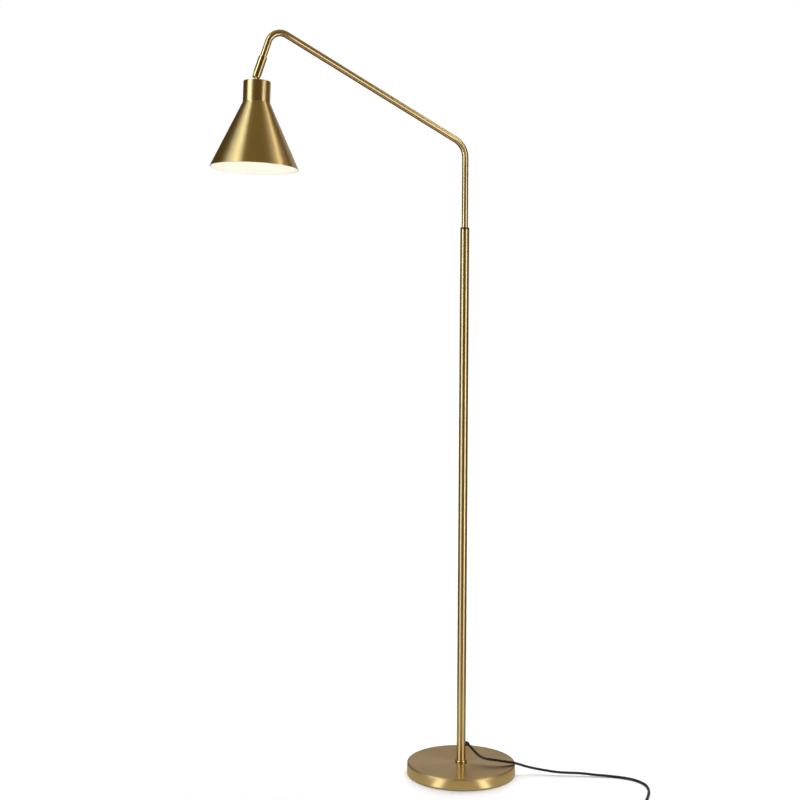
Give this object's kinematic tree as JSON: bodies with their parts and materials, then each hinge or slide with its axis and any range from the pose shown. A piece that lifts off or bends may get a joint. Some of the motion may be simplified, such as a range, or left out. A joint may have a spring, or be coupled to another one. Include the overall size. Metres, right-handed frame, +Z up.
{
  "type": "floor lamp",
  "caption": "Brass reading floor lamp: round weighted base, upright tube, turning bent arm, and a cone shade on a swivelling ball joint, with a lead, foot switch and plug.",
  "frame": {"origin": "on the floor at the centre of the base", "axes": "+Z up along the upright; at rest the arm reaches along -X; the lead leaves along +X and lies towards -Y"},
  "size_m": [0.8387, 0.4455, 1.4735],
  "materials": {
    "brushed_brass": "brushed antique brass",
    "turned_brass": "turned brass",
    "plated_steel": "zinc plated",
    "cast_weight": "as cast",
    "felt": "felt",
    "black_plastic": "moulded, matt",
    "cord_rubber": "smooth sheath",
    "white_plastic": "moulded",
    "white_wire": "wire insulation",
    "frosted_glass": "frosted inside"
  },
  "bodies": {
    "stand": {"base_shell": "brushed_brass", "base_weight": "cast_weight", "base_pad": "felt", "pole_bolt": "plated_steel", "bolt_washer": "plated_steel", "foot_insert": "plated_steel", "foot_collar": "brushed_brass", "pole_tube": "brushed_brass", "upper_bush": "black_plastic", "lower_bush": "black_plastic", "cord_grommet": "cord_rubber", "pole_cable": "white_wire", "cord_run": "cord_rubber", "cord_coil": "cord_rubber", "coil_tie": "black_plastic", "plug_body": "black_plastic", "plug_pins": "plated_steel", "switch_lower_case": "black_plastic", "switch_upper_case": "black_plastic", "switch_contacts": "white_plastic", "switch_screws": "plated_steel", "switch_spring": "plated_steel"},
    "arm": {"arm_tube": "brushed_brass", "arm_stop_pin": "plated_steel", "arm_cable": "white_wire", "arm_end_insert": "turned_brass", "swivel_nipple": "plated_steel", "friction_washer": "plated_steel", "thrust_washer": "white_plastic"},
    "swivel": {"knuckle_sleeve": "brushed_brass", "ball_seat": "plated_steel"},
    "head": {"ball_stud": "brushed_brass", "stem_nut": "plated_steel", "shade": "brushed_brass", "holder_cap": "black_plastic", "holder_skirt": "black_plastic", "contact_carrier": "white_plastic", "screw_shell": "plated_steel", "centre_contact": "turned_brass", "lamp_leads": "white_wire", "bulb_cap": "plated_steel", "bulb_glass": "frosted_glass"},
    "button": {"switch_button": "black_plastic"}
  },
  "joints": [
    {"name": "arm_swing", "type": "hinge", "parent": "stand", "child": "arm", "pos_m": [0, 0, 1.1092], "axis": [0, 0, 1], "range_deg": [-150, 150]},
    {"name": "head_swivel", "type": "hinge", "parent": "arm", "child": "swivel", "pos_m": [-0.42103, 0, 1.38805], "axis": [0.3256, 0, 0.9455], "range_deg": [-165, 165]},
    {"name": "shade_tilt", "type": "hinge", "parent": "swivel", "child": "head", "pos_m": [-0.42103, 0, 1.38805], "axis": [0, 1, 0], "range_deg": [-25, 75]},
    {"name": "switch_press", "type": "slide", "parent": "stand", "child": "button", "axis": [0, 0, -1], "range_m": [0, 0.003], "stiffness_N_per_m": 800, "springref_m": -0.002, "deforming": ["switch_spring"]}
  ]
}
